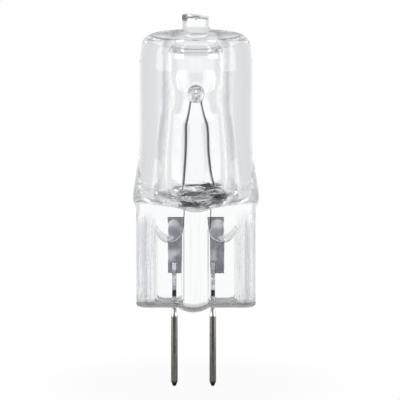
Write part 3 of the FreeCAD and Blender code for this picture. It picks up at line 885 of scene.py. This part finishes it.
def make_post():
    """Waisted glass post from the dimple to the far wall, lying along the view."""
    reach = CAVITY_UPPER + POST_SUNK
    depth = np.linspace(-reach, reach, POST_RINGS)
    away = np.abs(depth)
    flared = np.clip((away - POST_FLANK_END) / (CAVITY_UPPER - POST_FLANK_END), 0, None) ** 3
    girth = POST_WAIST + POST_FLANK * ease(away, POST_FLANK_START, POST_FLANK_END) + POST_FLARE * flared
    flank = [Vector((across, along)) for across, along in zip(girth, depth)]
    post = spun([Vector((0, -reach))] + flank + [Vector((0, reach))], POST_STEPS)
    bmesh.ops.rotate(post, verts=post.verts, matrix=Matrix.Rotation(math.pi / 2, 3, "X"))
    bmesh.ops.translate(post, verts=post.verts, vec=(0, 0, POST_LEVEL))
    return post


def loose_object(shape, name):
    """Object for a shape that only modifiers need."""
    mesh = bpy.data.meshes.new(name)
    shape.to_mesh(mesh)
    shape.free()
    thing = bpy.data.objects.new(name, mesh)
    bpy.context.scene.collection.objects.link(thing)
    return thing


def settled(thing):
    """Shape of a loose object once its modifiers have run."""
    bpy.context.view_layer.update()
    held = thing.evaluated_get(bpy.context.evaluated_depsgraph_get())
    shape = bmesh.new()
    shape.from_mesh(held.data)
    return shape


def take_in(shape, other, name):
    """Add another shape's faces to a shape."""
    mesh = bpy.data.meshes.new(name)
    other.to_mesh(mesh)
    other.free()
    shape.from_mesh(mesh)
    bpy.data.meshes.remove(mesh)


def make_gas_space():
    """Inside of the envelope, with the post standing through it."""
    profile = rounded([
        (0, CAVITY_FLOOR, 0),
        (CAVITY_LOWER, CAVITY_FLOOR, CAVITY_FLOOR_ROUND),
        (CAVITY_LOWER, FLARE_LOW, FLARE_LOW_ROUND),
        (CAVITY_UPPER, FLARE_HIGH, FLARE_HIGH_ROUND),
        (CAVITY_UPPER, CAVITY_TOP + CAVITY_RIM, CAVITY_ROUND),
        (0, CAVITY_TOP, 0),
    ], CAVITY_PACE)
    space = spun(profile, CAVITY_STEPS)
    reshape(space, press_cavity)
    block = loose_object(space, "gas_space")
    post = loose_object(make_post(), "post")
    cut = block.modifiers.new("post", "BOOLEAN")
    cut.operation = "DIFFERENCE"
    cut.solver = "EXACT"
    cut.object = post
    shape = settled(block)
    for thing in (block, post):
        bpy.data.objects.remove(thing)
    bmesh.ops.recalc_face_normals(shape, faces=shape.faces)
    bmesh.ops.reverse_faces(shape, faces=shape.faces)
    return shape


def make_envelope():
    """One-piece envelope from its outer skin and the skin of its gas space."""
    skin = make_outer_skin()
    take_in(skin, make_gas_space(), "inner_skin")
    return add_piece(skin, "quartz_envelope", QUARTZ, "glass_envelope", GLASS_AXIS)


def smooth_line(stops, count):
    """Even points along a smooth line through the given (across, up) stops, and its length."""
    points = [Vector((across, 0, up)) for across, up in stops]
    dense = []
    for index, (start, end) in enumerate(zip(points, points[1:])):
        before = points[max(index - 1, 0)]
        after = points[min(index + 2, len(points) - 1)]
        first = start + (end - before) / 6
        second = end - (after - start) / 6
        dense += geometry.interpolate_bezier(start, first, second, end, CURVE_POINTS)[:-1]
    dense.append(points[-1])
    places = np.array(dense)
    lengths = np.concatenate([[0], np.cumsum(np.linalg.norm(np.diff(places, axis=0), axis=1))])
    even = np.linspace(0, lengths[-1], count)
    return np.column_stack([np.interp(even, lengths, places[:, axis]) for axis in range(3)]), lengths[-1]


def lay_along(line, length):
    """Function that lays an upright shape of that length along a line in the filament's plane."""
    heading = np.gradient(line, axis=0)
    heading /= np.linalg.norm(heading, axis=1)[:, None]
    marks = np.linspace(0, length, len(line))

    def change(places):
        along = [np.interp(places[:, 2], marks, line[:, axis]) for axis in (0, 2)]
        lead = [np.interp(places[:, 2], marks, heading[:, axis]) for axis in (0, 2)]
        return np.column_stack([
            along[0] + places[:, 0] * lead[1],
            places[:, 1] + COIL_PLANE,
            along[1] - places[:, 0] * lead[0],
        ])

    return change


def make_coil(length):
    """Upright close coil of that length: one turn of wire, repeated."""
    turns = round(length / COIL_PITCH)
    pitch = length / turns
    turn = bmesh.new()
    bmesh.ops.create_circle(turn, segments=COIL_SIDES, radius=COIL_WIRE)
    bmesh.ops.rotate(turn, verts=turn.verts, matrix=Matrix.Rotation(math.pi / 2, 3, "X"))
    bmesh.ops.translate(turn, verts=turn.verts, vec=(COIL_RADIUS - COIL_WIRE, 0, 0))
    bmesh.ops.spin(
        turn, geom=turn.verts[:] + turn.edges[:], cent=(0, 0, 0), axis=(0, 0, 1),
        dvec=(0, 0, pitch / COIL_STEPS), angle=2 * math.pi, steps=COIL_STEPS,
    )
    wound = loose_object(turn, "turn")
    repeat = wound.modifiers.new("turns", "ARRAY")
    repeat.count = turns
    repeat.use_relative_offset = False
    repeat.use_constant_offset = True
    repeat.constant_offset_displace = (0, 0, pitch)
    repeat.use_merge_vertices = True
    repeat.merge_threshold = COIL_MERGE_GAP
    coil = settled(wound)
    bpy.data.objects.remove(wound)
    return coil


def make_tail(stops):
    """Thin straight wire led from the coil's foot down to its foil."""
    line, length = smooth_line(stops, TAIL_POINTS)
    tail = bmesh.new()
    bmesh.ops.create_cone(
        tail, segments=TAIL_SIDES, radius1=TAIL_RADIUS, radius2=TAIL_RADIUS, depth=length, cap_ends=True,
    )
    upright = [edge for edge in tail.edges if abs(edge.verts[0].co.z - edge.verts[1].co.z) > 0.1]
    bmesh.ops.subdivide_edges(tail, edges=upright, cuts=TAIL_CUTS)
    bmesh.ops.translate(tail, verts=tail.verts, vec=(0, 0, length / 2))
    reshape(tail, lay_along(line, length))
    return tail


def make_filament():
    """Coiled tungsten wire looped over the post, with its tails led down to the foils."""
    line, length = smooth_line(COIL_LINE, COIL_POINTS)
    coil = make_coil(length)
    reshape(coil, lay_along(line, length))
    for stops in (LEFT_TAIL, RIGHT_TAIL):
        take_in(coil, make_tail(stops), "tail")
    bmesh.ops.recalc_face_normals(coil, faces=coil.faces)
    return add_piece(coil, "coiled_filament", TUNGSTEN, "filament", GLASS_AXIS)


def make_foil(side, sign):
    """Thin foil, wider at its top along the inner edge, crinkled and torn at its foot."""
    low, high = (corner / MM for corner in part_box(f"{side}_foil"))
    outer_edge = high.x if sign > 0 else low.x
    sheet = bmesh.new()
    bmesh.ops.create_grid(sheet, x_segments=FOIL_COLUMNS, y_segments=FOIL_ROWS, size=0.5)
    bmesh.ops.rotate(sheet, verts=sheet.verts, matrix=Matrix.Rotation(math.pi / 2, 3, "X"))

    def cut(places):
        up = places[:, 2] + 0.5
        inward = (0.5 - places[:, 0] * sign) * (FOIL_WIDTH + FOIL_GAIN * up)
        level = low.z + up * (high.z - low.z)
        moved = np.column_stack([outer_edge - sign * inward, np.zeros(len(places)), level])
        torn = ripple(moved, (3.1, 0, 0.4), 4.4 + sign)
        moved[:, 2] += (1 - ease(up, 0.0, FOIL_TEAR_SHARE)) * FOIL_TEAR * torn
        moved[:, 0] += FOIL_EDGE_WAVE * ripple(moved, (0.4, 0, 1.3), 8.8 + sign)
        wave = ripple(moved, (0.9, 0, 0.5), 6.1 + sign)
        moved[:, 1] = low.y + FOIL_SEAT + FOIL_WAVE * wave
        return moved

    reshape(sheet, cut)
    bmesh.ops.recalc_face_normals(sheet, faces=sheet.faces)
    bmesh.ops.solidify(sheet, geom=sheet.faces[:], thickness=FOIL_SHEET)
    bmesh.ops.recalc_face_normals(sheet, faces=sheet.faces)
    return add_piece(sheet, f"{side}_foil_strip", FOIL, f"{side}_foil")


def make_lead(side, sign):
    """Outer lead, a little uneven, swollen in the seal and flattened where it is welded to the foil."""
    low, high = (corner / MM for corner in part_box(f"{side}_outer_lead"))
    radius = (high.y - low.y) / 2
    wire = spun(rounded([
        (0, low.z, 0), (radius, low.z, LEAD_ROUND), (radius, high.z, LEAD_TOP_ROUND), (0, high.z, 0),
    ], LEAD_PACE), LEAD_STEPS)

    def flatten(places):
        moved = places.copy()
        inside = ease(places[:, 2], SEAL_END + LEAD_SWELL_START, SEAL_END + LEAD_SWELL_FULL)
        uneven = LEAD_UNEVEN * ripple(places, (0.2, 0.2, 1.7), 9.0 + sign)
        moved[:, :2] *= (1 + LEAD_SWELL * inside + uneven)[:, None]
        welded = ease(places[:, 2], FOIL_FOOT - WELD_START, FOIL_FOOT + WELD_FULL)
        moved[:, 1] = moved[:, 1] * (1 - welded) + np.minimum(moved[:, 1], FOIL_FRONT) * welded
        return moved

    reshape(wire, flatten)
    return add_piece(wire, f"{side}_lead_wire", LEAD, f"{side}_outer_lead", sign * PIN_REACH)


def make_pin(side, sign):
    """Nickel pin, swaged to a cone round its lead, with a blunt bullet end."""
    low, high = (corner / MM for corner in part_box(f"{side}_pin"))
    radius = (high.y - low.y) / 2
    pin = spun(rounded([
        (0, low.z, 0),
        (radius * PIN_END_SHARE, low.z, PIN_END_ROUND),
        (radius, low.z + PIN_BULLET, PIN_BULLET_ROUND),
        (radius, PIN_SHOULDER, PIN_SHOULDER_ROUND),
        (PIN_COLLAR, high.z - PIN_COLLAR_DROP, PIN_COLLAR_ROUND),
        (PIN_MOUTH, high.z, PIN_MOUTH_ROUND),
        (PIN_SOCKET, high.z, 0),
        (PIN_SOCKET, high.z - PIN_SOCKET_DEPTH, 0),
        (0, high.z - PIN_SOCKET_DEPTH, 0),
    ], PIN_PACE), PIN_STEPS)
    return add_piece(pin, f"{side}_contact_pin", PIN, f"{side}_pin", sign * PIN_REACH)


make_envelope()
make_filament()
for side, sign in (("left", -1), ("right", 1)):
    make_foil(side, sign)
    make_lead(side, sign)
    make_pin(side, sign)


def make_floor_paper():
    """Pale paper that keeps the shadow by the pins and shows as white ground further off."""
    material = bpy.data.materials.new("pale_floor")
    material.use_nodes = True
    tree = material.node_tree
    tree.nodes.remove(tree.nodes["Principled BSDF"])
    start = Wire(tree, None)
    places = start.out(start.node("ShaderNodeTexCoord"), "Object")
    far = start.out(start.node("ShaderNodeVectorMath", {"operation": "LENGTH"}, s0=places), "Value")
    path = start.node("ShaderNodeLightPath")
    direct = start.out(path, "Is Camera Ray")
    through = start.out(path, "Is Glossy Ray").larger(start.out(path, "Is Transmission Ray"))
    matt = start.out(start.node("ShaderNodeBsdfDiffuse", None, Color=PAPER))
    white = start.out(start.node("ShaderNodeEmission", None, Color=WHITE, Strength=1.0))
    plain = direct * (1 - SHADOW_SHARE + far.rise(*SHADOW_EDGE) * SHADOW_SHARE)
    plain = plain.larger(through * far.rise(*GROUND_EDGE))
    mixed = start.node("ShaderNodeMixShader", None, s0=plain, s1=matt, s2=white)
    tree.links.new(mixed.outputs[0], tree.nodes["Material Output"].inputs["Surface"])
    return material


def make_floor():
    """Paper strip under the pins, running back behind the bulb."""
    shape = bmesh.new()
    bmesh.ops.create_grid(shape, x_segments=2, y_segments=2, size=1)
    bmesh.ops.scale(shape, verts=shape.verts, vec=(FLOOR_HALF_WIDE, FLOOR_HALF_LONG, 1))
    bmesh.ops.translate(shape, verts=shape.verts, vec=(0, FLOOR_BACK, FLOOR_LEVEL))
    bmesh.ops.scale(shape, verts=shape.verts, vec=(MM, MM, MM))
    mesh = bpy.data.meshes.new("floor")
    shape.to_mesh(mesh)
    shape.free()
    mesh.materials.append(make_floor_paper())
    floor = bpy.data.objects.new("floor", mesh)
    bpy.context.scene.collection.objects.link(floor)


def make_studio():
    """White ground in view, and round it a grey room with pale side walls and a dim ceiling."""
    world = bpy.data.worlds.new("studio")
    world.use_nodes = True
    tree = world.node_tree
    bpy.context.scene.world = world
    background = tree.nodes["Background"]
    start = Wire(tree, None)
    heading = start.out(start.node("ShaderNodeTexCoord"), "Generated")
    sideways, back, up = directions(heading)
    aside = abs(sideways)
    behind = back.step(-0.3, 0.3)
    path = start.node("ShaderNodeLightPath")
    through = start.out(path, "Is Transmission Ray")
    ground = (1 - aside.step(0.25, 0.55)) * (1 - up.step(-0.1, -0.04))
    walls = aside.step(0.84, 0.94)
    ceiling = up.step(0.2, 0.6)
    overhead = up.step(0.85, 0.96)
    viewer = (1 - behind) * (1 - aside.step(0.55, 0.92)) * (1 - up.step(0.0, 0.35))
    viewer = viewer * (1 - through)
    room = ROOM_GREY + walls * WALL_GAIN - viewer * VIEWER_LOSS
    room = (room - ceiling * CEILING_LOSS - overhead * OVERHEAD_LOSS).larger(ROOM_LEAST)
    mirrored = (start.out(path, "Is Glossy Ray") * behind).larger(through)
    seen = start.out(path, "Is Camera Ray").larger(mirrored * ground)
    strength = seen + (1 - seen) * room
    tree.links.new(strength.socket, background.inputs["Strength"])
    background.inputs["Color"].default_value = WHITE


def add_softbox(side, sign):
    """Square lamp beside the bulb, a little in front of it."""
    name = f"{side}_softbox"
    lamp = bpy.data.lights.new(name, "AREA")
    lamp.shape = "RECTANGLE"
    lamp.size, lamp.size_y = (length * MM for length in SOFTBOX_SIZE)
    lamp.energy = SOFTBOX_POWER
    thing = bpy.data.objects.new(name, lamp)
    spot = Vector((sign * SOFTBOX_ASIDE, SOFTBOX_FRONT, SOFTBOX_LEVEL)) * MM
    facing = (Vector(SOFTBOX_TARGET) * MM - spot).to_track_quat("-Z", "Y")
    thing.matrix_world = Matrix.Translation(spot) @ facing.to_matrix().to_4x4()
    bpy.context.scene.collection.objects.link(thing)


def make_camera():
    """Camera square to the row of pins, a little above the bulb."""
    rise = math.radians(CAMERA_RISE)
    camera = bpy.data.cameras.new("camera")
    camera.sensor_width = CAMERA_SENSOR
    camera.lens = CAMERA_SENSOR * CAMERA_DISTANCE / CAMERA_FIELD
    camera.clip_start = CAMERA_NEAR
    camera.clip_end = CAMERA_FAR
    thing = bpy.data.objects.new("camera", camera)
    away = Vector((0, -math.cos(rise), math.sin(rise)))
    place = (Vector(CAMERA_AIM) + away * CAMERA_DISTANCE) * MM
    thing.matrix_world = Matrix.Translation(place) @ away.to_track_quat("Z", "Y").to_matrix().to_4x4()
    bpy.context.scene.collection.objects.link(thing)
    bpy.context.scene.camera = thing


make_floor()
make_studio()
for side, sign in (("left", -1), ("right", 1)):
    add_softbox(side, sign)
make_camera()
bpy.context.scene.view_settings.view_transform = "Standard"

# Light that is turned many times inside the thick quartz still finds its way out
for kind in ("max_bounces", "glossy_bounces", "transmission_bounces"):
    setattr(bpy.context.scene.cycles, kind, LIGHT_TURNS)
